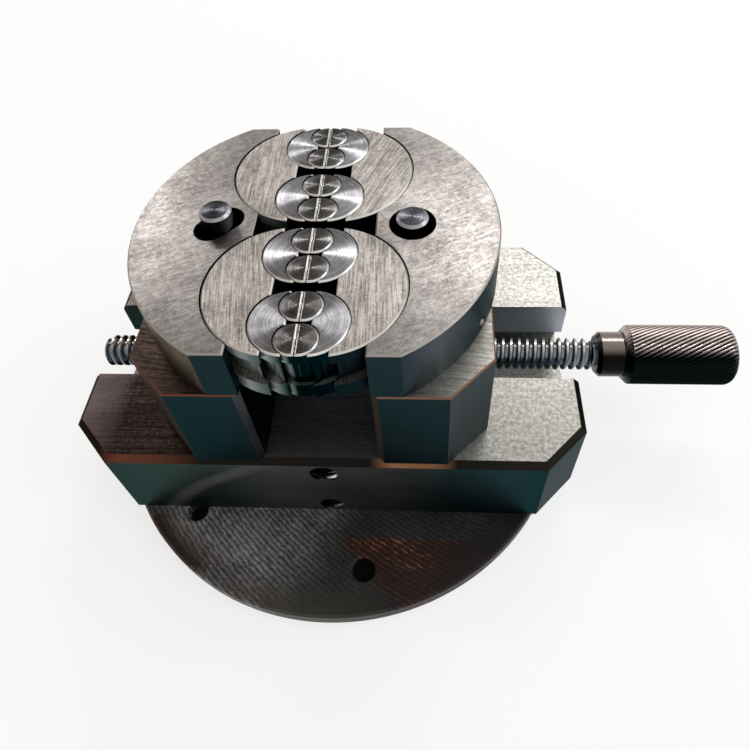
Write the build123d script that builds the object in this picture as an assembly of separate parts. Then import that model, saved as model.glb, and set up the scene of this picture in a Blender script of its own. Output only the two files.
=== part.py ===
"""Steel vise with nested arc jaws that align themselves to the work.

A round base carries a long body with a T-slot between two rails. Two slides run in the T-slot, driven
apart or together by one screw with a left-hand and a right-hand thread. Each slide carries a crescent
jaw. Half discs turn in the crescent's two round sockets, smaller half discs turn in theirs, and the
smallest ones meet the work. All sockets hold their half disc by a dovetail rib in a groove. Each half
disc turns about the centre of its own arc, and its own half discs lie inside that arc's circle, so
neighbours never meet.

Millimetres. The origin is the centre of the base's underside, +X runs along the screw to the handle,
+Z is up and the front is at -Y. The jaws are drawn closed, so left and right half discs meet at X = 0.
"""
from build123d import *
from math import cos, radians, sin
import os

# Heights of the stack, from the bench up
base_thickness = 6.0
body_height = 37.5
slide_height = 40.5
jaw_thickness = 20.0

# Body: a block with cut corners, a channel and a T-slot below the rails' lips
body_length = 178.0
body_width = 102.0
body_corner_cut = 14.3
body_top_bevel = 2.2
channel_width = 33.0
t_slot_width = 51.0
lip_thickness = 16.0
t_slot_height = 11.5

# Round base, a little inside the body's ends, with the spigot on which the body can be turned and locked
base_rim_inset = 0.4
base_radius = body_length / 2 - base_rim_inset
base_rim_chamfer = 0.8
spigot_radius = 28.0
spigot_height = 7.0
spigot_clearance = 0.08
spigot_groove_depth = 1.6
base_hole_radius = 4.0
base_hole_chamfer = 0.7
base_hole_rim_distance = 15.2
base_hole_circle_radius = base_radius - base_hole_rim_distance
base_hole_angles = (-80.1, -134.6)

# Slides and their running clearances in the body
slide_length = 36.3
slide_side_inset = 0.6
slide_width = body_width - 2 * slide_side_inset
slide_corner_cut = 13.6
slide_inner_corner_cut = 2.0
slide_edge_bevel = 0.5
sole_clearance = 0.05
channel_clearance = 0.1
t_slot_clearance = 0.2

# Screw, its bearing in the middle of the body, and the handle
screw_radius = 6.0
screw_height_in_body = 29.5
screw_overhang = 2.5
screw_left_end = -body_length / 2 - screw_overhang
screw_end_chamfer = 1.5
spindle_radius = 4.5
spindle_length = 30.0
running_clearance = 0.05
bearing_length = 14.0
bearing_side_clearance = 0.15
bearing_below_rail = 1.0
bearing_edge_chamfer = 1.0
thrust_collar_radius = 10.5
thrust_collar_length = 5.0
thrust_clearance = 0.1
collar_chamfer = 0.6
slide_bore_clearance = 1.0
hub_stand_off = 9.0
hub_start = body_length / 2 + hub_stand_off
hub_radius = 8.5
hub_length = 10.0
hub_chamfer = 1.5
grip_radius = 11.2
grip_length = 40.2
grip_end_round = 3.6
grip_chamfer = 2.0
handle_screw_radius = 2.0
handle_screw_recess = 0.6

# Bronze nuts in the slides
nut_radius = 9.0
nut_length = 24.0
nut_flange_radius = 13.0
nut_flange_thickness = 3.6
nut_screw_circle_radius = 11.0
nut_screw_radius = 1.0
nut_screw_length = 7.0
nut_screw_count = 3

# Lock screws in the body's front and back, one pair for the bearing and one for the base
bearing_lock_radius = 5.0
bearing_lock_length = 23.65
base_lock_radius = 4.4
base_lock_height = 4.8
base_lock_length = 15.0
lock_thread_clearance = 0.05
bearing_lock_cone = 2.0
base_lock_cone = 3.85
base_lock_seat_gap = 0.6
hex_socket_depth = 4.0
hex_socket_share = 0.55

# Jaws by level, from the crescent to the smallest half disc. Two children share their parent's half span: each
# ends near the parent's end and stops short of its middle. Their arcs' radii and the spacing of their centres
# follow from that. The arc's centre and the flat face stand off the parting plane.
jaw_end_inset = 0.4
jaw_span = slide_width - 2 * jaw_end_inset
crescent_bulge = 7.5
child_end_insets = (-0.3, 0.15, 0.1)
child_middle_gaps = (1.3, 1.55, 0.4)
jaw_radii = [jaw_span / 2 + crescent_bulge]
child_spacings = []
half_span = jaw_span / 2
for end_inset, middle_gap in zip(child_end_insets, child_middle_gaps):
    child_spacings.append((half_span - end_inset + middle_gap) / 2)
    half_span = (half_span - end_inset - middle_gap) / 2
    jaw_radii.append(half_span)
arc_offsets = (0.0, 5.4, 2.9, 0.86)
face_offsets = (19.0, 9.3, 3.6, 0.12)
socket_clearances = (0.35, 0.30, 0.25)
groove_depths = (2.9, 2.0, 1.4)
rib_setbacks = (3.0, 1.6, 0.7)
lower_flange = 5.6
upper_flange = 4.0
dovetail_flare = 0.6
rib_clearance = 0.2
jaw_lift = 0.1
jaw_edge_bevel = 0.5

# Pins that place the crescents on the slides, and the screws that lock the large half discs
pin_radius = 5.0
pin_x = 30.4
pin_depth_in_slide = 15.0
pin_heads = {"left": 6.0, "right": 3.0}
pin_chamfer = 0.8
pin_fit = 0.02
left_slot_width = 10.4
left_slot_length = 17.2
left_slot_angle = 45.0
right_hole_radius = 7.35
jaw_screw_radius = 2.0
jaw_screw_length = 16.0
jaw_screw_height = 3.6

# Levels and places that follow from the sizes above
body_floor = base_thickness
rail_top = body_floor + body_height
slide_top = rail_top + slide_height
jaw_top = slide_top + jaw_thickness
lip_bottom = rail_top - lip_thickness
t_slot_floor = lip_bottom - t_slot_height
screw_height = body_floor + screw_height_in_body
slide_inner_x = face_offsets[0]
slide_outer_x = slide_inner_x + slide_length
EPS = 0.5


def box_between(x, y, z):
    """A box given by its limits along each axis."""
    return Pos(x[0], y[0], z[0]) * Box(
        x[1] - x[0], y[1] - y[0], z[1] - z[0], align=(Align.MIN, Align.MIN, Align.MIN)
    )


def rod(radius, start, end):
    """A round bar along X at the screw's height."""
    return Pos(start, 0, screw_height) * Rot(0, 90, 0) * Cylinder(
        radius, end - start, align=(Align.CENTER, Align.CENTER, Align.MIN)
    )


def dowel(x, y, radius, bottom, top):
    """An upright round bar."""
    return Pos(x, y, bottom) * Cylinder(radius, top - bottom, align=(Align.CENTER, Align.CENTER, Align.MIN))


def front_rod(radius, height, start, end):
    """A round bar along Y at X = 0."""
    return Pos(0, start, height) * Rot(-90, 0, 0) * Cylinder(
        radius, end - start, align=(Align.CENTER, Align.CENTER, Align.MIN)
    )


def at_circle(radius, angle):
    return radius * cos(radians(angle)), radius * sin(radians(angle))


def ring(profile_points, centre_x=0.0, centre_y=0.0):
    """A ring about the upright axis through a centre, from radius and height points."""
    face = Plane.XZ * make_face(Polyline(*profile_points, close=True))
    return Pos(centre_x, centre_y, 0) * revolve(face, Axis.Z, 360)


def top_edges(part, height):
    return part.edges().filter_by_position(Axis.Z, height - 0.01, height + 0.01)


# Base

def base_plate():
    plate = dowel(0, 0, base_radius, 0, base_thickness)
    plate = chamfer(top_edges(plate, base_thickness), base_rim_chamfer)
    spigot_top = base_thickness + spigot_height
    plate += dowel(0, 0, spigot_radius, 0, spigot_top)
    groove_height = base_thickness + base_lock_height
    plate -= ring([
        (spigot_radius - spigot_groove_depth, groove_height),
        (spigot_radius + EPS, groove_height + spigot_groove_depth + EPS),
        (spigot_radius + EPS, groove_height - spigot_groove_depth - EPS),
    ])
    for angle in base_hole_angles:
        for turn in (0, 180):
            x, y = at_circle(base_hole_circle_radius, angle + turn)
            plate -= dowel(x, y, base_hole_radius, -EPS, base_thickness + EPS)
            plate -= Pos(x, y, base_thickness - base_hole_chamfer / 2) * Cone(
                base_hole_radius, base_hole_radius + base_hole_chamfer, base_hole_chamfer
            )
    return plate


# Body

def vise_body():
    block = box_between(
        (-body_length / 2, body_length / 2), (-body_width / 2, body_width / 2), (body_floor, rail_top)
    )
    block = chamfer(block.edges().filter_by(Axis.Z), body_corner_cut)
    block = chamfer(top_edges(block, rail_top), body_top_bevel)
    ends = (-body_length / 2 - EPS, body_length / 2 + EPS)
    block -= box_between(ends, (-channel_width / 2, channel_width / 2), (t_slot_floor, rail_top + EPS))
    block -= box_between(ends, (-t_slot_width / 2, t_slot_width / 2), (t_slot_floor, lip_bottom))
    block -= dowel(
        0, 0, spigot_radius + spigot_clearance, body_floor - EPS, body_floor + spigot_height + spigot_clearance
    )
    front = body_width / 2 + EPS
    block -= front_rod(bearing_lock_radius, screw_height, -front, front)
    base_lock_z = body_floor + base_lock_height
    inside = spigot_radius - 2 * spigot_groove_depth
    block -= front_rod(base_lock_radius, base_lock_z, -front, -inside)
    block -= front_rod(base_lock_radius, base_lock_z, inside, front)
    return block


def lock_screw(radius, height, outer_y, tip_y, cone):
    """A cone-point screw that enters from the front; its mirror image enters from the back."""
    body = front_rod(radius - lock_thread_clearance, height, outer_y, tip_y)
    body = chamfer(body.edges().sort_by(Axis.Y)[-1], cone)
    socket = Pos(0, outer_y, height) * Rot(-90, 0, 0) * extrude(
        RegularPolygon(radius * hex_socket_share, 6), hex_socket_depth
    )
    return body - socket


def lock_screw_pair(radius, height, length, tip_y, cone):
    front = lock_screw(radius, height, -tip_y - length, -tip_y, cone)
    return Compound(children=[front, mirror(front, about=Plane.XZ)])


def bearing_lock_screws():
    bearing_side = channel_width / 2 - bearing_side_clearance
    return lock_screw_pair(
        bearing_lock_radius, screw_height, bearing_lock_length, bearing_side, bearing_lock_cone
    )


def base_lock_screws():
    tip = spigot_radius - spigot_groove_depth + base_lock_seat_gap
    height = body_floor + base_lock_height
    return lock_screw_pair(base_lock_radius, height, base_lock_length, tip, base_lock_cone)


def screw_bearing_block():
    half_width = channel_width / 2 - bearing_side_clearance
    top = rail_top - bearing_below_rail
    block = box_between(
        (-bearing_length / 2, bearing_length / 2), (-half_width, half_width), (t_slot_floor, top)
    )
    block = chamfer(top_edges(block, top), bearing_edge_chamfer)
    return block - rod(screw_radius + running_clearance, -bearing_length, bearing_length)


# Screw group

def lead_screw():
    screw = rod(screw_radius, screw_left_end, hub_start)
    screw = chamfer(screw.edges().sort_by(Axis.X)[0], screw_end_chamfer)
    return screw + rod(spindle_radius, hub_start - EPS, hub_start + spindle_length)


def thrust_collar():
    """The right-hand collar; the left-hand one is its mirror image."""
    start = bearing_length / 2 + thrust_clearance
    collar = rod(thrust_collar_radius, start, start + thrust_collar_length)
    collar = chamfer(collar.edges().filter_by(GeomType.CIRCLE), collar_chamfer)
    return collar - rod(screw_radius, start - EPS, start + thrust_collar_length + EPS)


def handle():
    grip_start = hub_start + hub_length
    hub = rod(hub_radius, hub_start, grip_start + EPS)
    hub = chamfer(hub.edges().sort_by(Axis.X)[0], hub_chamfer)
    grip = rod(grip_radius, grip_start, grip_start + grip_length)
    grip = chamfer(grip.edges().sort_by(Axis.X)[0], grip_chamfer)
    grip = fillet(grip.edges().sort_by(Axis.X)[-1], grip_end_round)
    whole = hub + grip - rod(spindle_radius, hub_start - EPS, hub_start + spindle_length)
    return whole - handle_screw_bar(hub_radius + EPS)


def handle_screw_bar(reach):
    place = Pos(hub_start + hub_length / 2, 0, screw_height) * Rot(90, 0, 0) * Pos(0, 0, spindle_radius)
    return place * Cylinder(
        handle_screw_radius, reach - spindle_radius, align=(Align.CENTER, Align.CENTER, Align.MIN)
    )


def handle_grub_screw():
    return handle_screw_bar(hub_radius - handle_screw_recess)


# Slides, all drawn for the left side and mirrored for the right

def left_slide():
    sole = rail_top + sole_clearance
    half_width = slide_width / 2
    block = box_between((-slide_outer_x, -slide_inner_x), (-half_width, half_width), (sole, slide_top))
    upright = block.edges().filter_by(Axis.Z).sort_by(Axis.X)
    block = chamfer(upright[:2], slide_corner_cut)
    upright = block.edges().filter_by(Axis.Z).sort_by(Axis.X)
    block = chamfer(upright[-2:], slide_inner_corner_cut)
    block = chamfer(top_edges(block, slide_top), slide_edge_bevel)
    stem = channel_width / 2 - channel_clearance
    foot = t_slot_width / 2 - t_slot_clearance
    foot_top = lip_bottom - t_slot_clearance
    along = (-slide_outer_x, -slide_inner_x)
    block += box_between(along, (-stem, stem), (foot_top - EPS, sole + EPS))
    block += box_between(along, (-foot, foot), (t_slot_floor + t_slot_clearance, foot_top))
    block -= rod(nut_radius, -slide_inner_x - nut_length, -slide_inner_x + EPS)
    block -= rod(screw_radius + slide_bore_clearance, -slide_outer_x - EPS, -slide_inner_x)
    block -= dowel(-pin_x, 0, pin_radius + pin_fit, slide_top - pin_depth_in_slide, slide_top + EPS)
    for bar in nut_screw_bars(nut_screw_length):
        block -= bar
    return block


def nut_screw_bars(reach):
    """Bars for the nut's screws, from the flange's face into the slide."""
    bars = []
    for index in range(nut_screw_count):
        y, z = at_circle(nut_screw_circle_radius, 90 + 360 * index / nut_screw_count)
        start = -slide_inner_x - reach
        bars.append(Pos(0, y, z) * rod(nut_screw_radius, start, -slide_inner_x + nut_flange_thickness))
    return bars


def left_nut():
    nut = rod(nut_radius, -slide_inner_x - nut_length, -slide_inner_x + EPS)
    flange = rod(nut_flange_radius, -slide_inner_x, -slide_inner_x + nut_flange_thickness)
    nut += chamfer(flange.edges().sort_by(Axis.X)[-1], collar_chamfer)
    nut -= rod(screw_radius + running_clearance, -slide_outer_x, 0)
    for bar in nut_screw_bars(nut_screw_length):
        nut -= bar
    return nut


def left_nut_screws():
    return Compound(children=list(nut_screw_bars(nut_screw_length)))


def left_pin(head):
    pin = dowel(-pin_x, 0, pin_radius, slide_top - pin_depth_in_slide, jaw_top + head)
    return chamfer(pin.edges().filter_by(GeomType.CIRCLE), pin_chamfer)


# Jaws, drawn on the left of the parting plane with their centre line at Y = 0

def dovetail(radius, depth, allowance, outer):
    """Radius and height points of a groove or rib: wider at its depth than at its mouth."""
    low = slide_top + lower_flange + allowance
    high = jaw_top - upper_flange - allowance
    slope = dovetail_flare / depth
    outside = outer - radius
    return [
        (radius - depth, low - dovetail_flare),
        (radius + outside, low + slope * outside),
        (radius + outside, high - slope * outside),
        (radius - depth, high + dovetail_flare),
    ]


def jaw(level):
    """One half disc, or the crescent at level 0: its outline, its groove and its own sockets."""
    radius = jaw_radii[level]
    centre_x = -arc_offsets[level]
    face = face_offsets[level]
    half_span = jaw_span / 2 if level == 0 else radius + EPS
    bottom = slide_top + (jaw_lift if level else 0.0)
    body = dowel(centre_x, 0, radius, bottom, jaw_top) & box_between(
        (centre_x - radius - EPS, -face), (-half_span, half_span), (bottom, jaw_top)
    )
    body = chamfer(top_edges(body, jaw_top), jaw_edge_bevel)
    if level:
        body -= ring(dovetail(radius, groove_depths[level - 1], 0.0, radius + EPS), centre_x)
    if level < len(groove_depths):
        body = with_sockets(body, level)
    return body


def with_sockets(body, level):
    """Cut the two sockets for the next level and leave a dovetail rib round each."""
    child_radius = jaw_radii[level + 1]
    child_x = -arc_offsets[level + 1]
    reach = child_radius + socket_clearances[level]
    for side in (-1, 1):
        body -= dowel(child_x, side * child_spacings[level], reach, slide_top - EPS, jaw_top + EPS)
    outline = dowel(
        -arc_offsets[level], 0, jaw_radii[level] - rib_setbacks[level], slide_top, jaw_top
    ) & box_between(
        (-jaw_radii[0], -face_offsets[level] - rib_setbacks[level]),
        (rib_setbacks[level] - jaw_span / 2, jaw_span / 2 - rib_setbacks[level]), (slide_top, jaw_top)
    )
    for side in (-1, 1):
        profile = dovetail(reach, groove_depths[level], rib_clearance, reach + EPS)
        body += ring(profile, child_x, side * child_spacings[level]) & outline
    return body


def jaw_screw_bars(start, end, radius):
    """Bars along X, low in the crescent, that point at the centres of the two large half discs."""
    return [
        Pos(-start, y, slide_top + jaw_screw_height) * Rot(0, -90, 0) * Cylinder(
            radius, end - start, align=(Align.CENTER, Align.CENTER, Align.MIN)
        )
        for y in (-child_spacings[0], child_spacings[0])
    ]


def left_crescent():
    body = jaw(0)
    for bar in jaw_screw_bars(arc_offsets[1] + jaw_radii[1], jaw_radii[0], jaw_screw_radius):
        body -= bar
    return body


def left_jaw_screws():
    start = arc_offsets[1] + jaw_radii[1] + socket_clearances[0]
    bars = jaw_screw_bars(start, start + jaw_screw_length, jaw_screw_radius - lock_thread_clearance)
    return Compound(children=bars)


def left_slot():
    slot = extrude(SlotOverall(left_slot_length, left_slot_width), jaw_thickness + 2 * EPS)
    return Pos(-pin_x, 0, slide_top - EPS) * Rot(0, 0, left_slot_angle) * slot


def right_pin_hole():
    return dowel(pin_x, 0, right_hole_radius, slide_top - EPS, jaw_top + EPS)


def to_right(part):
    return mirror(part, about=Plane.YZ)


def jaw_places():
    """Yield the name, level and centre line of every half disc, numbered from the front."""
    large = [-child_spacings[0], child_spacings[0]]
    medium = [y + side * child_spacings[1] for y in large for side in (-1, 1)]
    small = [y + side * child_spacings[2] for y in medium for side in (-1, 1)]
    for name, y in zip(("front", "back"), large):
        yield f"large_jaw_{name}", 1, y
    for index, y in enumerate(medium, start=1):
        yield f"medium_jaw_{index}", 2, y
    for index, y in enumerate(small, start=1):
        yield f"small_jaw_{index}", 3, y


def all_parts():
    crescent = left_crescent()
    parts = {
        "base_plate": base_plate(),
        "vise_body": vise_body(),
        "bearing_lock_screws": bearing_lock_screws(),
        "base_lock_screws": base_lock_screws(),
        "screw_bearing_block": screw_bearing_block(),
        "lead_screw": lead_screw(),
        "right_thrust_collar": thrust_collar(),
        "left_thrust_collar": to_right(thrust_collar()),
        "handle": handle(),
        "handle_grub_screw": handle_grub_screw(),
        "left_slide": left_slide(),
        "left_nut": left_nut(),
        "left_nut_screws": left_nut_screws(),
        "left_outer_jaw": crescent - left_slot(),
        "left_jaw_pin": left_pin(pin_heads["left"]),
        "left_jaw_lock_screws": left_jaw_screws(),
        "right_outer_jaw": to_right(crescent) - right_pin_hole(),
        "right_jaw_pin": to_right(left_pin(pin_heads["right"])),
    }
    for name in ("slide", "nut", "nut_screws", "jaw_lock_screws"):
        parts[f"right_{name}"] = to_right(parts[f"left_{name}"])
    half_discs = {level: jaw(level) for level in (1, 2, 3)}
    for name, level, y in jaw_places():
        left = Pos(0, y, 0) * half_discs[level]
        parts[f"left_{name}"] = left
        parts[f"right_{name}"] = to_right(left)
    return parts


os.makedirs("parts", exist_ok=True)
for node, solid in all_parts().items():
    export_step(solid, f"parts/{node}.step")
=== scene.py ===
"""Looks of the steel vise with nested arc jaws.

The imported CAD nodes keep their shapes. Only the lead screw and the handle are replaced: the screw by one with
real left-hand and right-hand threads, the handle by one with its diagonal knurling. The two tapped holes in
the body's front and back get their threads. Objects are in metres, in the CAD's frame, and sizes named here
are in millimetres.
"""
from math import pi, radians

import bmesh
import bpy
import numpy as np
from mathutils import Matrix


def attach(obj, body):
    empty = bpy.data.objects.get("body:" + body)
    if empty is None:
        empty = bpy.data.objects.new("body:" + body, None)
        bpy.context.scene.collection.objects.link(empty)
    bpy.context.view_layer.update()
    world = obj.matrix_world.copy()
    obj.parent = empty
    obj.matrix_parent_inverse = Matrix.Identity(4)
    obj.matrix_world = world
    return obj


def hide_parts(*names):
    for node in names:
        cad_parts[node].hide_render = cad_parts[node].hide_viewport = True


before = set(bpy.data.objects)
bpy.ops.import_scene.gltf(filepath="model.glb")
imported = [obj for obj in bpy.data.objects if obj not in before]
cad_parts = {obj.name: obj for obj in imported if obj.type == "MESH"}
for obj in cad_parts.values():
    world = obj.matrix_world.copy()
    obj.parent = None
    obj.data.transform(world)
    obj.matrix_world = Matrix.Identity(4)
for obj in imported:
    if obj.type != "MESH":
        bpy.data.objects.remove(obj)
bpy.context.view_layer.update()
MM = 0.001

# Sizes of the screw, handle, holes and half discs, as in the CAD
SCREW_HEIGHT = 35.5
SCREW_LEFT_END = -91.5
HUB_START = 98.0
SPINDLE_END = 128.0
GRIP_START = 108.0
GRIP_END = 148.2
GRIP_RADIUS = 11.2
HUB_RADIUS = 8.5
THREAD_RADIUS = 6.0
THREAD_PITCH = 3.0
THREAD_DEPTH = 1.6
BODY_FRONT = 51.0
BEARING_LOCK_HEIGHT = 35.5
BASE_LOCK_HEIGHT = 10.8
MEDIUM_CENTRES = (-38.75, -12.85, 12.85, 38.75)
SMALL_CENTRES = (-44.6, -32.9, -18.7, -7.0, 7.0, 18.7, 32.9, 44.6)
MEDIUM_OFFSET = 2.9
SMALL_OFFSET = 0.86
PIN_OFFSET = 30.4

# Marks of the machining: the centre of the base's milled arcs, and the arc rubbed on the body's front, whose
# centre is given in X and Z
SWEEP_CENTRE = (112.0, 84.0)
RUBBED_CENTRE = (18.0, -46.5)
RUBBED_RADIUS = 95.0

# The photograph's camera, in pixels: picture width, focal length and the point straight ahead
PICTURE = 750
FOCAL = 660.62
AHEAD_X = 391.24
AHEAD_Y = 293.66


# Small helpers

def linear(hex_colour):
    """A linear RGBA colour from an sRGB hex value."""
    channels = [int(hex_colour[i:i + 2], 16) / 255 for i in (1, 3, 5)]
    return tuple(c / 12.92 if c <= 0.04045 else ((c + 0.055) / 1.055) ** 2.4 for c in channels) + (1.0,)


def add_node(tree, kind, links=None, steps=None, **settings):
    """Add a node with its settings; links gives each input a value or another node's output.

    steps gives a colour ramp its places and hex colours.
    """
    node = tree.nodes.new(kind)
    for name, value in settings.items():
        setattr(node, name, value)
    for index, (position, hex_colour) in enumerate(steps or []):
        ramp = node.color_ramp.elements
        step = ramp[index] if index < 2 else ramp.new(position)
        step.position = position
        step.color = linear(hex_colour)
    for key, value in (links or {}).items():
        if isinstance(value, bpy.types.NodeSocket):
            tree.links.new(value, node.inputs[key])
        else:
            node.inputs[key].default_value = value
    return node


def new_metal(name, film="#FFFFFF", **values):
    """A material with one Principled shader set as a metal, and its object coordinates.

    film is the colour of an oil film, which tints the glancing reflections.
    """
    material = bpy.data.materials.new(name)
    material.use_nodes = True
    tree = material.node_tree
    shader = tree.nodes["Principled BSDF"]
    shader.inputs["Metallic"].default_value = 1.0
    shader.inputs["Specular Tint"].default_value = linear(film)
    for key, value in values.items():
        shader.inputs[key].default_value = value
    place = add_node(tree, "ShaderNodeTexCoord")
    return material, tree, shader, place


def grid_piece(name, points, body, material, height=None):
    """An object from a grid of points, shape (rows, columns, 3) in mm, whose last column repeats the first.

    Four neighbouring points make one face. Points in the same place are merged, which closes the seam and
    the poles, and the faces are turned outwards. Edges sharper than 32 degrees stay sharp. height gives each
    point a value from 0 in a groove to 1 on a crest, which the finish reads as the attribute crest.
    """
    rows, columns = points.shape[:2]
    i = np.arange(rows - 1)[:, None] * columns
    j = np.arange(columns - 1)[None, :]
    corners = [i + j, i + j + 1, i + columns + j + 1, i + columns + j]
    quads = np.stack(corners, axis=-1).reshape(-1, 4)
    mesh = bpy.data.meshes.new(name)
    mesh.from_pydata((points.reshape(-1, 3) * MM).tolist(), [], quads.tolist())
    if height is not None:
        crest = mesh.attributes.new("crest", "FLOAT", "POINT")
        crest.data.foreach_set("value", height.ravel())
    same_place = 2e-6
    tidy = bmesh.new()
    tidy.from_mesh(mesh)
    bmesh.ops.remove_doubles(tidy, verts=tidy.verts, dist=same_place)
    bmesh.ops.dissolve_degenerate(tidy, edges=tidy.edges, dist=same_place / 2)
    bmesh.ops.recalc_face_normals(tidy, faces=tidy.faces)
    tidy.to_mesh(mesh)
    tidy.free()
    mesh.shade_smooth()
    mesh.set_sharp_from_angle(angle=radians(32))
    piece = bpy.data.objects.new(name, mesh)
    bpy.context.scene.collection.objects.link(piece)
    mesh.materials.append(material)
    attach(piece, body)
    return piece


# Finishes

# Side colours by the way a side faces, from -X to +X: the blue-green film left by hot oil on sides facing front
# and back, and a painted reflection: pale brown-grey on sides facing left and a pale grey band on sides turned
# right
FILM_AND_PAINTED_REFLECTION_SIDES = [
    (0.0, "#5A4C42"), (0.12, "#7A6C60"), (0.22, "#8A7E72"), (0.34, "#343E3C"), (0.44, "#202E2C"),
    (0.56, "#2A3A42"), (0.74, "#26323A"), (0.84, "#62666C"), (1.0, "#2A3A40")]
# The half discs' necks carry a painted highlight, pale on sides facing left, and the dark blue-green film
# elsewhere
FILM_AND_PAINTED_HIGHLIGHT_SIDES = [
    (0.0, "#969C99"), (0.24, "#C6CAC6"), (0.36, "#74827F"), (0.46, "#182B29"), (0.62, "#142428"),
    (1.0, "#2A3438")]
# The pins' sides carry a painted reflection: pale on sides facing left and right, dark on sides facing front
# and back
PIN_PAINTED_REFLECTION_SIDES = [(0.0, "#8A8A90"), (0.3, "#26262C"), (0.7, "#1C1C22"), (1.0, "#6A6A70")]


def colour_by_facing_with_painted_light(tree, place, shader, top, edge, sides):
    """Give the shader one colour out of three, by the way each face points.

    Upright faces take theirs from the ramp sides over the way they face along X, bevels take the colour edge,
    and level faces the colour top. The sides ramps hold painted reflections and highlights, and a pale edge
    colour is a painted highlight on the bevels.
    """
    split = add_node(tree, "ShaderNodeSeparateXYZ", {"Vector": place.outputs["Normal"]})
    facing = add_node(tree, "ShaderNodeMapRange", {
        "Value": split.outputs["X"], "From Min": -1.0, "From Max": 1.0})
    side = add_node(tree, "ShaderNodeValToRGB", {"Fac": facing.outputs["Result"]}, steps=sides)
    bevel = add_node(tree, "ShaderNodeMapRange", {
        "Value": split.outputs["Z"], "From Min": 0.25, "From Max": 0.6})
    to_edge = add_node(tree, "ShaderNodeMix", {
        "Factor": bevel.outputs["Result"], 6: side.outputs["Color"], 7: linear(edge)}, data_type="RGBA")
    level = add_node(tree, "ShaderNodeMapRange", {
        "Value": split.outputs["Z"], "From Min": 0.86, "From Max": 0.97})
    to_top = add_node(tree, "ShaderNodeMix", {
        "Factor": level.outputs["Result"], 6: to_edge.outputs[2], 7: top}, data_type="RGBA")
    tree.links.new(to_top.outputs[2], shader.inputs["Base Color"])


def grinding_strokes(tree, place, angle, length, width):
    """Straight strokes at an angle in degrees from X, with their length and width in millimetres."""
    along = add_node(tree, "ShaderNodeMapping", {
        "Vector": place.outputs["Object"], "Rotation": (0, 0, radians(angle)),
        "Scale": (length * MM, width * MM, 0.01)}, vector_type="TEXTURE")
    return add_node(tree, "ShaderNodeTexNoise", {
        "Vector": along.outputs[0], "Scale": 1.0, "Detail": 4.0, "Roughness": 0.62, "Distortion": 0.25})


def ground_steel(name, tones, edge, sides, roughness, angle, length, width, stroke_share):
    """Surface-ground tool steel: level faces bright with short grinding strokes, sides coloured by the way they
    face, with an oil film and painted reflections.

    Real strokes are 0.1 mm wide and are drawn 0.45 mm or more, so that they show. Between them lies a
    mottling of 1.5 mm specks and 12 mm clouds, which is where the wheel dressed the steel less. tones are the
    dark, middle and pale of the level faces. stroke_share is the strokes' share beside the mottling.
    """
    material, tree, shader, place = new_metal(name, film="#A8B0AF", Roughness=roughness)
    strokes = grinding_strokes(tree, place, angle, length, width)
    specks = add_node(tree, "ShaderNodeTexNoise", {
        "Vector": place.outputs["Object"], "Scale": 650.0, "Detail": 5.0, "Roughness": 0.72,
        "Distortion": 1.0})
    clouds = add_node(tree, "ShaderNodeTexNoise", {
        "Vector": place.outputs["Object"], "Scale": 80.0, "Detail": 3.0, "Roughness": 0.55})
    mottle = add_node(tree, "ShaderNodeMix", {
        "Factor": 0.32, 2: specks.outputs["Fac"], 3: clouds.outputs["Fac"]})
    shade = add_node(tree, "ShaderNodeMix", {
        "Factor": stroke_share, 2: mottle.outputs[0], 3: strokes.outputs["Fac"]})
    top = add_node(tree, "ShaderNodeValToRGB", {"Fac": shade.outputs[0]}, steps=[
        (0.4, tones[0]), (0.49, tones[1]), (0.59, tones[2])])
    colour_by_facing_with_painted_light(tree, place, shader, top.outputs["Color"], edge, sides)
    rough = add_node(tree, "ShaderNodeMapRange", {
        "Value": shade.outputs[0], "From Min": 0.3, "From Max": 0.7,
        "To Min": roughness + 0.1, "To Max": roughness - 0.06})
    tree.links.new(rough.outputs["Result"], shader.inputs["Roughness"])
    bump = add_node(tree, "ShaderNodeBump", {
        "Height": shade.outputs[0], "Strength": 0.3, "Distance": 0.00003})
    tree.links.new(bump.outputs["Normal"], shader.inputs["Normal"])
    return material


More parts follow.
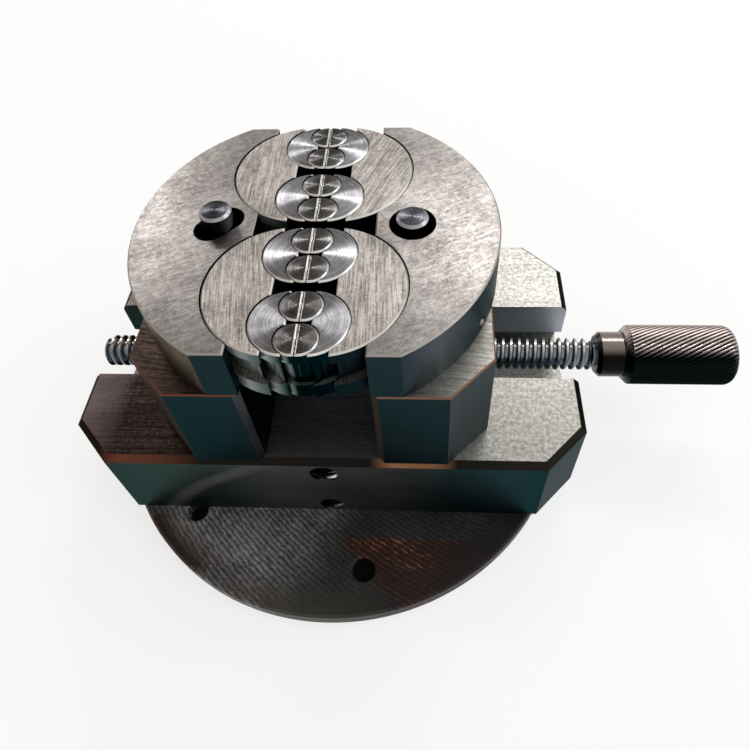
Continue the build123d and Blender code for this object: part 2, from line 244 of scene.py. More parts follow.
def oiled_body_steel():
    """The body's tool steel: ground rails, pale and bare on the right, painted brown on the left as a painted
    reflection.

    Strokes run along X, 0.7 mm wide. The front has the blue-green film at both ends, bare grey steel in the
    middle, and a rubbed arc 5 mm wide. Other upright faces are bare blue-grey on the right. The rails'
    middle, between the slides, is bare grey.
    """
    material, tree, shader, place = new_metal("oiled body steel", film="#A8B0AF", Roughness=0.3)
    spot = add_node(tree, "ShaderNodeSeparateXYZ", {"Vector": place.outputs["Object"]})
    clouds = add_node(tree, "ShaderNodeTexNoise", {
        "Vector": place.outputs["Object"], "Scale": 60.0, "Detail": 4.0, "Roughness": 0.6})
    strokes = grinding_strokes(tree, place, 0.0, 30.0, 0.7)
    specks = add_node(tree, "ShaderNodeTexNoise", {
        "Vector": place.outputs["Object"], "Scale": 760.0, "Detail": 5.0, "Roughness": 0.72,
        "Distortion": 0.3})
    texture = add_node(tree, "ShaderNodeMix", {
        "Factor": 0.5, 2: strokes.outputs["Fac"], 3: specks.outputs["Fac"]})
    speckled = add_node(tree, "ShaderNodeMix", {
        "Factor": 0.65, 2: texture.outputs[0], 3: specks.outputs["Fac"]})
    # Painted reflection: the level tops are painted brown towards the left end and pale bare steel to the
    # right.
    brown = add_node(tree, "ShaderNodeValToRGB", {"Fac": texture.outputs[0]}, steps=[
        (0.38, "#201916"), (0.5, "#352B27"), (0.64, "#5E524C")])
    pale_bare = add_node(tree, "ShaderNodeValToRGB", {"Fac": speckled.outputs[0]}, steps=[
        (0.37, "#7A7872"), (0.49, "#94928B"), (0.61, "#B0AEA7")])
    wander = add_node(tree, "ShaderNodeMath", {
        0: clouds.outputs["Fac"], 1: 0.03, 2: spot.outputs["X"]}, operation="MULTIPLY_ADD")
    fade_of_brown_reflection = add_node(tree, "ShaderNodeMapRange", {
        "Value": wander.outputs[0], "From Min": 0.005, "From Max": 0.06}, interpolation_type="SMOOTHSTEP")
    top = add_node(tree, "ShaderNodeMix", {
        "Factor": fade_of_brown_reflection.outputs["Result"], 6: brown.outputs["Color"], 7: pale_bare.outputs["Color"]},
        data_type="RGBA")
    # Painted highlight: the rails' left tip is painted pinkish pale in clouds.
    tip = add_node(tree, "ShaderNodeMapRange", {
        "Value": spot.outputs["X"], "From Min": -0.072, "From Max": -0.09, "To Max": 0.9})
    painted_tip_highlight = add_node(tree, "ShaderNodeMath", {
        0: tip.outputs["Result"], 1: clouds.outputs["Fac"]}, operation="MULTIPLY")
    rails = add_node(tree, "ShaderNodeMix", {
        "Factor": painted_tip_highlight.outputs[0], 6: top.outputs[2], 7: linear("#A89896")}, data_type="RGBA")
    aside = add_node(tree, "ShaderNodeMath", {0: spot.outputs["X"]}, operation="ABSOLUTE")
    between = add_node(tree, "ShaderNodeMapRange", {
        "Value": aside.outputs[0], "From Min": 0.034, "From Max": 0.016}, interpolation_type="SMOOTHSTEP")
    grey = add_node(tree, "ShaderNodeValToRGB", {"Fac": texture.outputs[0]}, steps=[
        (0.38, "#6E7178"), (0.5, "#92969E"), (0.64, "#B4B7BD")])
    tops = add_node(tree, "ShaderNodeMix", {
        "Factor": between.outputs["Result"], 6: rails.outputs[2], 7: grey.outputs["Color"]},
        data_type="RGBA")
    along = add_node(tree, "ShaderNodeMapRange", {
        "Value": spot.outputs["X"], "From Min": -0.09, "From Max": 0.09})
    film = add_node(tree, "ShaderNodeValToRGB", {"Fac": along.outputs["Result"]}, steps=[
        (0.0, "#314340"), (0.28, "#44504E"), (0.42, "#727775"), (0.6, "#6E7273"), (0.74, "#34474C"),
        (1.0, "#203436")])
    arc_place = add_node(tree, "ShaderNodeCombineXYZ", {"X": spot.outputs["X"], "Y": spot.outputs["Z"]})
    from_centre = add_node(tree, "ShaderNodeVectorMath", {
        0: arc_place.outputs[0], 1: (RUBBED_CENTRE[0] * MM, RUBBED_CENTRE[1] * MM, 0)}, operation="DISTANCE")
    arc = add_node(tree, "ShaderNodeMath", {
        0: from_centre.outputs["Value"], 1: RUBBED_RADIUS * MM}, operation="SUBTRACT")
    off_arc = add_node(tree, "ShaderNodeMath", {0: arc.outputs[0]}, operation="ABSOLUTE")
    on_arc = add_node(tree, "ShaderNodeMapRange", {
        "Value": off_arc.outputs[0], "From Min": 0.0012, "From Max": 0.0036, "To Min": 1.0, "To Max": 0.0})
    left = add_node(tree, "ShaderNodeMapRange", {
        "Value": spot.outputs["X"], "From Min": -0.012, "From Max": -0.03})
    forward = add_node(tree, "ShaderNodeMapRange", {
        "Value": spot.outputs["Y"], "From Min": -0.0505, "From Max": -0.0509})
    rubbed = add_node(tree, "ShaderNodeMath", {
        0: on_arc.outputs["Result"], 1: left.outputs["Result"]}, operation="MULTIPLY")
    rubbed_front = add_node(tree, "ShaderNodeMath", {
        0: rubbed.outputs[0], 1: forward.outputs["Result"]}, operation="MULTIPLY")
    patchy = add_node(tree, "ShaderNodeMath", {
        0: rubbed_front.outputs[0], 1: specks.outputs["Fac"]}, operation="MULTIPLY")
    facing = add_node(tree, "ShaderNodeSeparateXYZ", {"Vector": place.outputs["Normal"]})
    endwise = add_node(tree, "ShaderNodeMapRange", {
        "Value": facing.outputs["X"], "From Min": 0.3, "From Max": 0.6})
    bare = add_node(tree, "ShaderNodeMix", {
        "Factor": endwise.outputs["Result"], 6: linear("#B0B6C0"), 7: linear("#4A5056")}, data_type="RGBA")
    # The same painted reflection paints the other upright faces dark blue-green on the left.
    inner = add_node(tree, "ShaderNodeMix", {
        "Factor": fade_of_brown_reflection.outputs["Result"], 6: linear("#24302E"), 7: bare.outputs[2]}, data_type="RGBA")
    filmed = add_node(tree, "ShaderNodeMix", {
        "Factor": forward.outputs["Result"], 6: inner.outputs[2], 7: film.outputs["Color"]}, data_type="RGBA")
    side = add_node(tree, "ShaderNodeMix", {
        "Factor": patchy.outputs[0], 6: filmed.outputs[2], 7: linear("#9A9894")}, data_type="RGBA")
    bevel = add_node(tree, "ShaderNodeMapRange", {
        "Value": facing.outputs["Z"], "From Min": 0.25, "From Max": 0.6})
    # The body's bevels are reddish brown in two bands along X and dark elsewhere.
    bevel_bands = add_node(tree, "ShaderNodeValToRGB", {"Fac": along.outputs["Result"]}, steps=[
        (0.07, "#2A221F"), (0.11, "#6E4434"), (0.2, "#5A382C"), (0.27, "#221E1C"), (0.59, "#1E1C1A"),
        (0.63, "#8A6448"), (0.71, "#7A5840"), (0.75, "#1E1C1A"), (1.0, "#2A2724")])
    to_edge = add_node(tree, "ShaderNodeMix", {
        "Factor": bevel.outputs["Result"], 6: side.outputs[2], 7: bevel_bands.outputs["Color"]}, data_type="RGBA")
    level = add_node(tree, "ShaderNodeMapRange", {
        "Value": facing.outputs["Z"], "From Min": 0.86, "From Max": 0.97})
    colour = add_node(tree, "ShaderNodeMix", {
        "Factor": level.outputs["Result"], 6: to_edge.outputs[2], 7: tops.outputs[2]}, data_type="RGBA")
    tree.links.new(colour.outputs[2], shader.inputs["Base Color"])
    rough = add_node(tree, "ShaderNodeMapRange", {
        "Value": texture.outputs[0], "From Min": 0.3, "From Max": 0.7, "To Min": 0.46, "To Max": 0.32})
    tree.links.new(rough.outputs["Result"], shader.inputs["Roughness"])
    bump = add_node(tree, "ShaderNodeBump", {
        "Height": texture.outputs[0], "Strength": 0.3, "Distance": 0.00003})
    tree.links.new(bump.outputs["Normal"], shader.inputs["Normal"])
    return material


def turned_steel(name, centre, tones, edge, sides, roughness):
    """Face-turned steel: the lathe left fine rings about the arc's centre, given in millimetres.

    The rings are 0.2 mm apart and drawn 0.5 mm apart. They spread every highlight across themselves, which
    gives the bow-tie gleam of a turned face.
    """
    material, tree, shader, place = new_metal(name, film="#5A6E6C", Roughness=roughness, Anisotropic=1.0)
    centred = add_node(tree, "ShaderNodeMapping", {
        "Vector": place.outputs["Object"], "Location": (-centre[0] * MM, -centre[1] * MM, 0)})
    split = add_node(tree, "ShaderNodeSeparateXYZ", {"Vector": centred.outputs[0]})
    across = add_node(tree, "ShaderNodeCombineXYZ", {"X": split.outputs["X"], "Y": split.outputs["Y"]})
    tangent = add_node(tree, "ShaderNodeVectorTransform", {"Vector": across.outputs[0]},
                       vector_type="VECTOR", convert_from="OBJECT", convert_to="WORLD")
    tree.links.new(tangent.outputs[0], shader.inputs["Tangent"])
    radius = add_node(tree, "ShaderNodeVectorMath", {0: across.outputs[0]}, operation="LENGTH")
    ring_place = add_node(tree, "ShaderNodeCombineXYZ", {"X": radius.outputs["Value"]})
    rings = add_node(tree, "ShaderNodeTexNoise", {
        "Vector": ring_place.outputs[0], "Scale": 2000.0, "Detail": 2.0, "Roughness": 0.7})
    stain = add_node(tree, "ShaderNodeTexNoise", {
        "Vector": place.outputs["Object"], "Scale": 260.0, "Detail": 4.0, "Roughness": 0.65})
    shade = add_node(tree, "ShaderNodeMix", {
        "Factor": 0.4, 2: rings.outputs["Fac"], 3: stain.outputs["Fac"]})
    top = add_node(tree, "ShaderNodeValToRGB", {"Fac": shade.outputs[0]}, steps=[
        (0.36, tones[0]), (0.5, tones[1]), (0.64, tones[2])])
    colour_by_facing_with_painted_light(tree, place, shader, top.outputs["Color"], edge, sides)
    bump = add_node(tree, "ShaderNodeBump", {
        "Height": rings.outputs["Fac"], "Strength": 0.15, "Distance": 0.00001})
    tree.links.new(bump.outputs["Normal"], shader.inputs["Normal"])
    return material


def milled_base_steel():
    """Face-milled mild steel, blackened and worn: the cutter swept arcs 1.7 mm apart about a far centre.

    The cutter's crests show grey metal. The left is pale, a painted sheen, and is painted near black towards
    the right and the front. A brown patch with orange specks lies to the right of the front hole, darker
    further right.
    The blackening is an oxide, which is no metal, and covers about half of the surface. A wave scale of 185 is
    1.7 mm a ring.
    """
    material, tree, shader, place = new_metal("milled blackened steel", Metallic=0.55)
    spot = add_node(tree, "ShaderNodeSeparateXYZ", {"Vector": place.outputs["Object"]})
    flat = add_node(tree, "ShaderNodeCombineXYZ", {"X": spot.outputs["X"], "Y": spot.outputs["Y"]})
    sweep = add_node(tree, "ShaderNodeMapping", {
        "Vector": flat.outputs[0], "Location": (-SWEEP_CENTRE[0] * MM, -SWEEP_CENTRE[1] * MM, 0)})
    arcs = add_node(tree, "ShaderNodeTexWave", {
        "Vector": sweep.outputs[0], "Scale": 185.0, "Distortion": 5.0, "Detail": 4.0, "Detail Scale": 1.3,
        "Detail Roughness": 0.7}, wave_type="RINGS", rings_direction="Z", wave_profile="SIN")
    fine = add_node(tree, "ShaderNodeTexNoise", {
        "Vector": place.outputs["Object"], "Scale": 600.0, "Detail": 5.0, "Roughness": 0.75})
    clouds = add_node(tree, "ShaderNodeTexNoise", {
        "Vector": place.outputs["Object"], "Scale": 45.0, "Detail": 4.0, "Roughness": 0.6})
    cut = add_node(tree, "ShaderNodeMix", {"Factor": 0.76, 2: arcs.outputs["Fac"], 3: fine.outputs["Fac"]})
    worn = add_node(tree, "ShaderNodeMix", {"Factor": 0.4, 2: cut.outputs[0], 3: clouds.outputs["Fac"]})
    steel = add_node(tree, "ShaderNodeValToRGB", {"Fac": worn.outputs[0]}, steps=[
        (0.38, "#3C3C3D"), (0.47, "#626263"), (0.55, "#838281"), (0.64, "#ABA9A5")])
    # Painted sheen: pale steel on the left, painted near black towards the right and the front.
    downward = add_node(tree, "ShaderNodeMath", {
        0: spot.outputs["Y"], 1: -0.6, 2: spot.outputs["X"]}, operation="MULTIPLY_ADD")
    oiled = add_node(tree, "ShaderNodeMapRange", {
        "Value": downward.outputs[0], "From Min": 0.016, "From Max": 0.046, "To Max": 0.92},
        interpolation_type="SMOOTHSTEP")
    shaded = add_node(tree, "ShaderNodeMix", {
        "Factor": oiled.outputs["Result"], 6: steel.outputs["Color"], 7: linear("#121112")}, data_type="RGBA")
    # A brown patch with orange specks lies to the right of the front hole, darker further right.
    browned = add_node(tree, "ShaderNodeValToRGB", {"Fac": worn.outputs[0]}, steps=[
        (0.4, "#1C100C"), (0.49, "#2E1A13"), (0.6, "#46291D"), (0.67, "#B06A42")])
    darkening = add_node(tree, "ShaderNodeMapRange", {
        "Value": spot.outputs["X"], "From Min": 0.03, "From Max": 0.062}, interpolation_type="SMOOTHSTEP")
    faded = add_node(tree, "ShaderNodeMix", {
        "Factor": darkening.outputs["Result"], 6: browned.outputs["Color"], 7: linear("#100A09")},
        data_type="RGBA")
    slant = add_node(tree, "ShaderNodeMath", {
        0: spot.outputs["Y"], 1: 0.8, 2: spot.outputs["X"]}, operation="MULTIPLY_ADD")
    ragged = add_node(tree, "ShaderNodeMath", {
        0: clouds.outputs["Fac"], 1: 0.012, 2: slant.outputs[0]}, operation="MULTIPLY_ADD")
    right = add_node(tree, "ShaderNodeMapRange", {
        "Value": ragged.outputs[0], "From Min": -0.0405, "From Max": -0.036})
    below = add_node(tree, "ShaderNodeMapRange", {
        "Value": spot.outputs["Y"], "From Min": -0.0608, "From Max": -0.0625})
    patch = add_node(tree, "ShaderNodeMath", {
        0: right.outputs["Result"], 1: below.outputs["Result"]}, operation="MULTIPLY")
    with_brown_patch = add_node(tree, "ShaderNodeMix", {
        "Factor": patch.outputs[0], 6: shaded.outputs[2], 7: faded.outputs[2]}, data_type="RGBA")
    rim = add_node(tree, "ShaderNodeVectorMath", {0: flat.outputs[0]}, operation="LENGTH")
    near_rim = add_node(tree, "ShaderNodeMapRange", {
        "Value": rim.outputs["Value"], "From Min": 0.076, "From Max": 0.086})
    along = add_node(tree, "ShaderNodeMapRange", {
        "Value": spot.outputs["X"], "From Min": -0.09, "From Max": 0.09})
    rim_tone = add_node(tree, "ShaderNodeValToRGB", {"Fac": along.outputs["Result"]}, steps=[
        (0.1, "#32211D"), (0.3, "#302521"), (0.42, "#46433B"), (0.55, "#302E28"), (0.72, "#181110")])
    rubbed = add_node(tree, "ShaderNodeMapRange", {
        "Value": clouds.outputs["Fac"], "From Min": 0.35, "From Max": 0.55,
        "To Max": near_rim.outputs["Result"]})
    colour = add_node(tree, "ShaderNodeMix", {
        "Factor": rubbed.outputs["Result"], 6: with_brown_patch.outputs[2], 7: rim_tone.outputs["Color"]},
        data_type="RGBA")
    tree.links.new(colour.outputs[2], shader.inputs["Base Color"])
    rough = add_node(tree, "ShaderNodeMapRange", {
        "Value": fine.outputs["Fac"], "To Min": 0.4, "To Max": 0.6})
    tree.links.new(rough.outputs["Result"], shader.inputs["Roughness"])
    bump = add_node(tree, "ShaderNodeBump", {
        "Height": cut.outputs[0], "Strength": 0.35, "Distance": 0.00005})
    tree.links.new(bump.outputs["Normal"], shader.inputs["Normal"])
    return material


def plain_steel(name, pale, dark, roughness):
    """Machined steel with a faint uneven film of oil, whose spots are about 3 mm wide."""
    material, tree, shader, place = new_metal(name, Roughness=roughness)
    film = add_node(tree, "ShaderNodeTexNoise", {
        "Vector": place.outputs["Object"], "Scale": 300.0, "Detail": 4.0, "Roughness": 0.6})
    tone = add_node(tree, "ShaderNodeMix", {
        "Factor": film.outputs["Fac"], 6: linear(dark), 7: linear(pale)}, data_type="RGBA")
    tree.links.new(tone.outputs[2], shader.inputs["Base Color"])
    rough = add_node(tree, "ShaderNodeMapRange", {
        "Value": film.outputs["Fac"], "To Min": roughness - 0.06, "To Max": roughness + 0.08})
    tree.links.new(rough.outputs["Result"], shader.inputs["Roughness"])
    return material


def cut_steel(name, radius, crest, flank, root, under, roughness):
    """Steel with a cut thread or knurl: crests pale, partly rubbed bright and partly a painted glint; roots
    dark, partly oil and partly painted shade in the grooves.

    The height comes from the piece's own attribute crest, 0 in a root and 1 on a crest. radius is the piece's
    own about the screw's axis, in millimetres. What lies away from the top and back has the colour under, a
    painted shade.
    """
    material, tree, shader, place = new_metal(name, Roughness=roughness)
    height = add_node(tree, "ShaderNodeAttribute", attribute_name="crest")
    grime = add_node(tree, "ShaderNodeTexNoise", {
        "Vector": place.outputs["Object"], "Scale": 350.0, "Detail": 4.0, "Roughness": 0.7})
    grimy = add_node(tree, "ShaderNodeMath", {
        0: grime.outputs["Fac"], 1: 0.5, 2: height.outputs["Fac"]}, operation="MULTIPLY_ADD")
    tone = add_node(tree, "ShaderNodeValToRGB", {"Fac": grimy.outputs[0]}, steps=[
        (0.3, root), (0.65, flank), (1.0, crest)])
    # Painted shade: below and in front of the axis the colour under replaces the thread's tone.
    from_axis = add_node(tree, "ShaderNodeMapping", {
        "Vector": place.outputs["Object"], "Location": (0, 0, -SCREW_HEIGHT / radius),
        "Scale": (0, 1000 / radius, 1000 / radius)})
    towards_back = add_node(tree, "ShaderNodeVectorMath", {0: from_axis.outputs[0], 1: (0, 0.342, 0.94)},
                            operation="DOT_PRODUCT")
    above_painted_shade = add_node(tree, "ShaderNodeMapRange", {
        "Value": towards_back.outputs["Value"], "From Min": 0.45, "From Max": 0.85},
        interpolation_type="SMOOTHSTEP")
    colour = add_node(tree, "ShaderNodeMix", {
        "Factor": above_painted_shade.outputs["Result"], 6: linear(under), 7: tone.outputs["Color"]}, data_type="RGBA")
    tree.links.new(colour.outputs[2], shader.inputs["Base Color"])
    return material


def tapped_steel():
    """A tapped thread with painted light and shade: bright on the right side of the hole and black on the left.
    """
    material, tree, shader, place = new_metal("tapped thread steel", Roughness=0.22)
    split = add_node(tree, "ShaderNodeSeparateXYZ", {"Vector": place.outputs["Object"]})
    # Painted light and shade: the thread is painted bright where X is above zero and black below.
    right = add_node(tree, "ShaderNodeMapRange", {
        "Value": split.outputs["X"], "From Min": 0.0, "From Max": 0.003})
    tone = add_node(tree, "ShaderNodeMix", {
        "Factor": right.outputs["Result"], 6: linear("#0E0E0E"), 7: linear("#D6D4D0")}, data_type="RGBA")
    tree.links.new(tone.outputs[2], shader.inputs["Base Color"])
    return material


# Threads and knurling

def full_turn(count):
    """Angles of a full turn whose last one repeats the first place."""
    return 2 * pi * np.arange(count + 1) / count


def around_x(x, radius, angle, height):
    """Points on circles about an axis along X.

    Y is the radius times the sine, Z the height plus the radius times the cosine.
    """
    return np.stack([x, radius * np.sin(angle), height + radius * np.cos(angle)], axis=-1)


def turned_rows(profile, angle):
    """A profile of places and radii, repeated unchanged at every angle."""
    profile = np.array(profile, float)
    level = np.ones_like(angle)[None, :]
    return profile[:, :1] * level, profile[:, 1:] * level


def thread_rows(start, end, crest_radius, pitch, depth, hand, angle, crest_share=0.24, root_share=0.3):
    """Places and radii of a thread: a trapezoid profile that slides by one pitch in a full turn.

    crest_share and root_share are the parts of the pitch that the crest and the root take. Past the ends the
    place is held at the end and the radius at the root's. Near each end the radius is no more than the root's
    plus 1.2 times the distance to the end, which is the lead-in chamfer.
    """
    crest = crest_share * pitch
    root = root_share * pitch
    flank = (pitch - crest - root) / 2
    along = np.cumsum([0, crest / 2, crest / 2, flank, root / 2, root / 2])
    below = depth * np.array([0, 0, 0, 1, 1, 1])
    turns = int(np.ceil((end - start) / pitch)) + 2
    place = (start + pitch * (np.arange(turns)[:, None] - 1) + along[None, :]).ravel()
    x = place[:, None] + hand * pitch * angle[None, :] / (2 * pi)
    radius = crest_radius - np.tile(below, turns)[:, None] + 0 * x
    inside = np.clip(np.minimum(x - start, end - x), 0, None)
    radius = np.minimum(radius, crest_radius - depth + 1.2 * inside)
    return np.clip(x, start, end), radius


def make_screw(material):
    """The lead screw in one piece: left-hand thread, journal in the bearing, right-hand thread, spindle."""
    angle = full_turn(48)
    journal = 12.0
    thread_end = HUB_START - 1.0
    spindle = 4.5
    sections = [
        turned_rows([(SCREW_LEFT_END, 0)], angle),
        thread_rows(SCREW_LEFT_END, -journal, THREAD_RADIUS, THREAD_PITCH, THREAD_DEPTH, -1, angle),
        turned_rows([(-journal, THREAD_RADIUS), (journal, THREAD_RADIUS)], angle),
        thread_rows(journal, thread_end, THREAD_RADIUS, THREAD_PITCH, THREAD_DEPTH, 1, angle),
        turned_rows([(thread_end, spindle), (SPINDLE_END, spindle), (SPINDLE_END, 0)], angle),
    ]
    x = np.concatenate([section[0] for section in sections])
    radius = np.concatenate([section[1] for section in sections])
    points = around_x(x, radius, angle + 0 * x, SCREW_HEIGHT)
    height = np.clip((radius - THREAD_RADIUS + THREAD_DEPTH) / THREAD_DEPTH, 0, 1)
    screw = grid_piece("threaded_lead_screw", points, "screw", material, height)
    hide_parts("lead_screw")


def make_handle(grip_finish, hub_finish):
    """The handle: a plain hub, and a grip whose knurl is one family of slanting ridges.

    The grip's radius is its profile's less the cut times half of one minus the cosine of the ridge angle,
    raised to the power 1.2, and every row is turned on by an angle that grows with X, which slants the
    ridges. Its start has a chamfer of 2 mm and its end a round corner.
    """
    ridges = 46
    depth = 0.5
    slant = 0.046
    chamfer = 2.0
    corner = 3.6
    angle = full_turn(ridges * 6)
    straight = 80
    bend = np.linspace(0, pi / 2, 9)
    x = np.concatenate([
        [GRIP_START, GRIP_START, GRIP_START + chamfer],
        np.linspace(GRIP_START + chamfer + 0.4, GRIP_END - corner - 0.2, straight),
        GRIP_END - corner + corner * np.sin(bend), [GRIP_END]])
    profile = np.concatenate([
        [0, GRIP_RADIUS - chamfer, GRIP_RADIUS], np.full(straight, GRIP_RADIUS),
        GRIP_RADIUS - corner + corner * np.cos(bend), [0]])
    cut = depth * np.concatenate([[0, 0, 0.7], np.ones(straight), np.cos(bend) ** 0.7, [0]])
    ridge = (0.5 - 0.5 * np.cos(ridges * angle)) ** 1.2
    radius = profile[:, None] - cut[:, None] * ridge[None, :]
    turn = angle[None, :] + slant * (x[:, None] - GRIP_START)
    points = around_x(x[:, None] + 0 * turn, radius, turn, SCREW_HEIGHT)
    height = 1 - ridge[None, :] * np.minimum(cut[:, None] / depth, 1)
    grip = grid_piece("knurled_grip", points, "screw", grip_finish, height)
    angle = full_turn(64)
    edge = 1.5
    neck = HUB_RADIUS - 0.4
    x, radius = turned_rows([
        (HUB_START, 0), (HUB_START, HUB_RADIUS - edge), (HUB_START + edge, HUB_RADIUS),
        (GRIP_START - 0.6, HUB_RADIUS), (GRIP_START - 0.3, neck), (GRIP_START + 0.3, neck),
        (GRIP_START + 0.3, 0)], angle)
    points = around_x(x, radius, angle + 0 * x, SCREW_HEIGHT)
    hub = grid_piece("handle_hub", points, "screw", hub_finish)
    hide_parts("handle")
    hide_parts("handle")


def make_hole_threads(name, height, hole_radius, reach, material):
    """The coarse thread in a tapped hole, front and back: a thin sleeve whose inside is the thread formula.

    The sleeve starts 0.6 mm behind the face and its outside lies 0.2 mm inside the hole's wall.
    """
    start = 0.6
    depth = 0.75
    outside = hole_radius + 0.2
    angle = full_turn(40)
    y, radius = thread_rows(start, reach, depth, 2 * depth, depth, 1, angle, 0.15, 0.2)
    radius = hole_radius - radius
    outer_y, outer = turned_rows([(reach, outside), (start, outside)], angle)
    y = np.concatenate([y, outer_y, y[:1]])
    radius = np.concatenate([radius, outer, radius[:1]])
    for side, suffix in ((-1, "front"), (1, "back")):
        across = radius * np.sin(angle)
        up = height + radius * np.cos(angle)
        points = np.stack([across, side * (BODY_FRONT - y), up], axis=-1)
        grid_piece(f"{name}_{suffix}", points, "vise_body", material)


# Dress every CAD node

def dress(names, material):
    """Give the named CAD nodes one finish."""
    for name in names:
        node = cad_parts[name]
        for slot in node.material_slots:
            slot.material = material


def dress_cad():
    """Give each CAD node its finish."""
    # The pale edge colours of the jaws, half discs and pins are painted highlights on their bevels.
    crescent = ground_steel(
        "surface-ground jaw steel", ("#6A6462", "#847F7B", "#A09B97"), "#A6A29C", FILM_AND_PAINTED_REFLECTION_SIDES,
        roughness=0.32, angle=25.0, length=5.0, width=0.6, stroke_share=0.3)
    for side in ("left", "right"):
        dress([f"{side}_outer_jaw"], crescent)
    # The left slide's brown tones are a painted reflection.
    dress(["left_slide"], ground_steel(
        "ground slide steel with painted brown reflection", ("#2C2420", "#433731", "#63554D"), "#6E463A", FILM_AND_PAINTED_REFLECTION_SIDES,
        roughness=0.3, angle=-8.0, length=12.0, width=0.7, stroke_share=0.5))
    dress(["right_slide"], ground_steel(
        "ground slide steel", ("#7E7A73", "#9C9890", "#BDB9B0"), "#7A5E4C", FILM_AND_PAINTED_REFLECTION_SIDES,
        roughness=0.34, angle=-8.0, length=12.0, width=0.7, stroke_share=0.5))
    dress(["vise_body"], oiled_body_steel())
    dress(["screw_bearing_block"], plain_steel(
        "milled bearing steel", pale="#4A4A4C", dark="#2C2B2C", roughness=0.35))
    dress(["base_plate"], milled_base_steel())
    leans = (("left front", 100.0), ("left back", 90.0), ("right front", 92.0), ("right back", 68.0))
    for piece, lean in leans:
        side, place = piece.split()
        dress([f"{side}_large_jaw_{place}"], ground_steel(
            f"coarse-ground half disc steel {piece}", ("#736E6A", "#9E9893", "#C8C2BB"), "#D6D2CC",
            FILM_AND_PAINTED_HIGHLIGHT_SIDES, roughness=0.5, angle=lean, length=9.0, width=0.45, stroke_share=0.52))
    for side, sign in (("left", -1), ("right", 1)):
        for index, y in enumerate(MEDIUM_CENTRES, start=1):
            turned = turned_steel(
                f"turned half disc steel {side} {index}", (sign * MEDIUM_OFFSET, y),
                ("#6C6C70", "#98979A", "#C4C3C2"), "#ECEAE6", FILM_AND_PAINTED_HIGHLIGHT_SIDES, roughness=0.3)
            dress([f"{side}_medium_jaw_{index}"], turned)
        for index, y in enumerate(SMALL_CENTRES, start=1):
            turned = turned_steel(
                f"turned dark disc steel {side} {index}", (sign * SMALL_OFFSET, y),
                ("#3A3938", "#615F5E", "#8E8C8A"), "#E0DEDA", FILM_AND_PAINTED_HIGHLIGHT_SIDES, roughness=0.27)
            dress([f"{side}_small_jaw_{index}"], turned)
        pin = turned_steel(
            f"turned pin steel {side}", (sign * PIN_OFFSET, 0.0),
            ("#343438", "#505056", "#78787E"), "#A9A9AE", PIN_PAINTED_REFLECTION_SIDES, roughness=0.28)
        dress([f"{side}_jaw_pin"], pin)
        dress([f"{side}_thrust_collar"], plain_steel(
            "turned collar steel", pale="#77787A", dark="#4E4F52", roughness=0.3))
    dress(["left_nut", "right_nut"], plain_steel(
        "cast tin bronze", pale="#B08A4E", dark="#7D5F30", roughness=0.35))
    fastener = plain_steel("black oxide fastener steel", pale="#3A3A3C", dark="#1C1C1E", roughness=0.4)
    dress(["bearing_lock_screws", "base_lock_screws", "handle_grub_screw"], fastener)
    for side in ("left", "right"):
        dress([f"{side}_nut_screws", f"{side}_jaw_lock_screws"], fastener)
    dress(["lead_screw", "handle"], fastener)


# Studio

def make_floor():
    """A pale floor, white to the camera and in reflections, that keeps the vise's shadow.

    Under the base, where it is seen only through the base's holes, the floor is painted dark, a painted shadow.
    """
    size = 3.0
    shadow_radius = 0.088
    glow_share = 0.7
    corners = [(-size, -size, 0), (size, -size, 0), (size, size, 0), (-size, size, 0)]
    mesh = bpy.data.meshes.new("floor")
    mesh.from_pydata(corners, [], [(0, 1, 2, 3)])
    floor = bpy.data.objects.new("floor", mesh)
    bpy.context.scene.collection.objects.link(floor)
    material = bpy.data.materials.new("matt white paint")
    material.use_nodes = True
    tree = material.node_tree
    shader = tree.nodes["Principled BSDF"]
    shader.inputs["Roughness"].default_value = 0.9
    shader.inputs["Specular IOR Level"].default_value = 0.1
    place = add_node(tree, "ShaderNodeTexCoord")
    radius = add_node(tree, "ShaderNodeVectorMath", {0: place.outputs["Object"]}, operation="LENGTH")
    outside = add_node(tree, "ShaderNodeMath", {
        0: radius.outputs["Value"], 1: shadow_radius}, operation="GREATER_THAN")
    paint = add_node(tree, "ShaderNodeMix", {
        "Factor": outside.outputs[0], 6: linear("#151413"), 7: linear("#F6F6F4")}, data_type="RGBA")
    tree.links.new(paint.outputs[2], shader.inputs["Base Color"])
    path = add_node(tree, "ShaderNodeLightPath")
    seen = add_node(tree, "ShaderNodeMath", {
        0: path.outputs["Is Camera Ray"], 1: path.outputs["Is Glossy Ray"]}, operation="ADD")
    seen_all = add_node(tree, "ShaderNodeMath", {
        0: seen.outputs[0], 1: path.outputs["Is Transmission Ray"]}, operation="ADD", use_clamp=True)
    here = add_node(tree, "ShaderNodeMath", {
        0: seen_all.outputs[0], 1: outside.outputs[0]}, operation="MULTIPLY")
    share = add_node(tree, "ShaderNodeMath", {0: here.outputs[0], 1: glow_share}, operation="MULTIPLY")
    glow = add_node(tree, "ShaderNodeEmission", {"Color": (1, 1, 1, 1), "Strength": 1.0})
    both = add_node(tree, "ShaderNodeMixShader", {
        0: share.outputs[0], 1: shader.outputs["BSDF"], 2: glow.outputs["Emission"]})
    tree.links.new(both.outputs[0], tree.nodes["Material Output"].inputs["Surface"])
    mesh.materials.append(material)


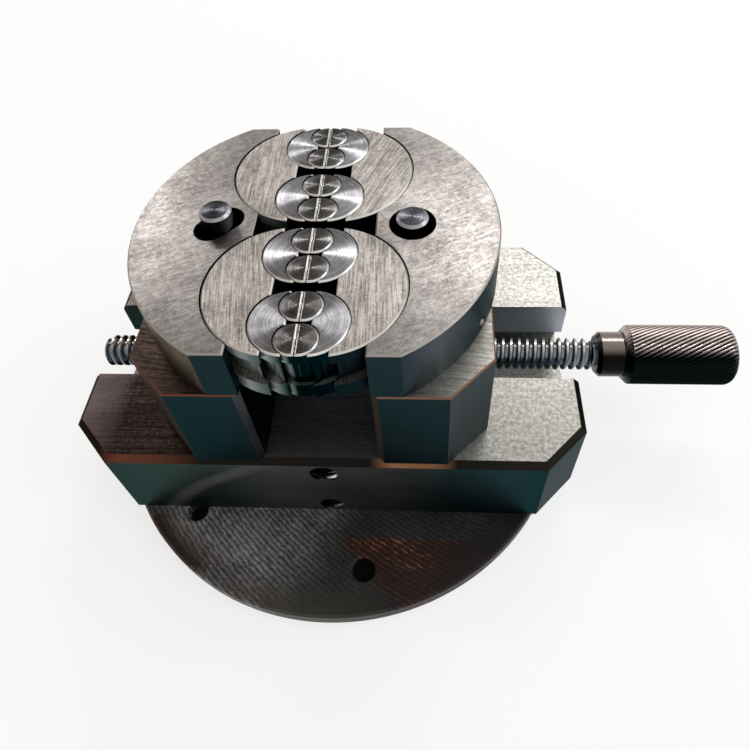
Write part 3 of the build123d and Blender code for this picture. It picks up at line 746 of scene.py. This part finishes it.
def make_world():
    """A pale studio, white on the right and greyer on the left, with one dim stretch of ceiling.

    That stretch lies behind and above the vise and is 20 degrees in radius. The level steel faces mirror it.
    """
    world = bpy.data.worlds.new("studio")
    bpy.context.scene.world = world
    world.use_nodes = True
    tree = world.node_tree
    background = tree.nodes["Background"]
    direction = add_node(tree, "ShaderNodeTexCoord")
    split = add_node(tree, "ShaderNodeSeparateXYZ", {"Vector": direction.outputs["Generated"]})
    side = add_node(tree, "ShaderNodeMapRange", {
        "Value": split.outputs["X"], "From Min": -0.6, "From Max": 0.25}, interpolation_type="SMOOTHSTEP")
    colour = add_node(tree, "ShaderNodeMix", {
        "Factor": side.outputs["Result"], 6: linear("#D3CBC6"), 7: linear("#F4F4F4")}, data_type="RGBA")
    ceiling = add_node(tree, "ShaderNodeVectorMath", {
        0: direction.outputs["Generated"], 1: (-0.33, 0.40, 0.855)}, operation="DOT_PRODUCT")
    dim = add_node(tree, "ShaderNodeMapRange", {
        "Value": ceiling.outputs["Value"], "From Min": 0.905, "From Max": 0.985},
        interpolation_type="SMOOTHSTEP")
    shaded = add_node(tree, "ShaderNodeMix", {
        "Factor": dim.outputs["Result"], 6: colour.outputs[2], 7: linear("#5E5450")}, data_type="RGBA")
    tree.links.new(shaded.outputs[2], background.inputs["Color"])
    background.inputs["Strength"].default_value = 0.95


def add_softbox(name, place, target, size, power):
    """A rectangular soft white light that faces its target; places and size in metres, power in watts."""
    light = bpy.data.lights.new(name, "AREA")
    light.shape = "RECTANGLE"
    light.size, light.size_y = size
    light.energy = power
    lamp = bpy.data.objects.new(name, light)
    bpy.context.scene.collection.objects.link(lamp)
    way = np.array(target) - np.array(place)
    z = -way / np.linalg.norm(way)
    x = np.cross((0, 0, 1), z)
    x /= np.linalg.norm(x)
    y = np.cross(z, x)
    turn = Matrix(np.stack([x, y, z], axis=1).tolist()).to_4x4()
    lamp.matrix_world = Matrix.Translation(place) @ turn


def make_camera():
    """The photograph's view, from the fit of the vise's edges."""
    camera = bpy.data.cameras.new("camera")
    camera.sensor_width = 36.0
    camera.lens = FOCAL * camera.sensor_width / PICTURE
    camera.shift_x = (PICTURE / 2 - AHEAD_X) / PICTURE
    camera.shift_y = -(PICTURE / 2 - AHEAD_Y) / PICTURE
    holder = bpy.data.objects.new("camera", camera)
    bpy.context.scene.collection.objects.link(holder)
    right = (0.99813, 0.04170, -0.04462)
    down = (0.00269, -0.75995, -0.64997)
    ahead = (-0.06101, 0.64864, -0.75865)
    axes = np.stack([right, -np.array(down), -np.array(ahead)], axis=1)
    place = Matrix.Translation((0.03629, -0.14900, 0.24476))
    holder.matrix_world = place @ Matrix(axes.tolist()).to_4x4()
    bpy.context.scene.camera = holder


bpy.context.scene.view_settings.view_transform = "Standard"
dress_cad()
# The pale crest colours are partly a painted glint, the dark roots partly painted shade, and under is a painted
# shade.
make_screw(cut_steel(
    "rolled thread steel", THREAD_RADIUS,
    crest="#C6C2BC", flank="#928E89", root="#5E5A56", under="#7A848A", roughness=0.26))
make_handle(
    cut_steel(
        "knurled brown steel", GRIP_RADIUS,
        crest="#BCAFA9", flank="#544A45", root="#0A0807", under="#091212", roughness=0.24),
    cut_steel(
        "turned brown steel", HUB_RADIUS,
        crest="#C4BAB4", flank="#B4AAA4", root="#7E746E", under="#141312", roughness=0.24),
)
tapped = tapped_steel()
make_hole_threads("bearing_lock_thread", BEARING_LOCK_HEIGHT, hole_radius=5.0, reach=10.5, material=tapped)
make_hole_threads("base_lock_thread", BASE_LOCK_HEIGHT, hole_radius=4.4, reach=8.5, material=tapped)
make_floor()
make_world()
add_softbox("strip_light", (0.57, 1.77, 1.92), target=(0, 0, 0.1), size=(1.2, 0.16), power=15.0)
add_softbox("left_strip_light", (-1.22, 1.74, 1.62), target=(0, 0, 0.1), size=(0.6, 0.16), power=8.0)
add_softbox("right_softbox", (0.9, 0.1, 0.8), target=(0, 0, 0.08), size=(0.7, 0.7), power=3.0)
make_camera()
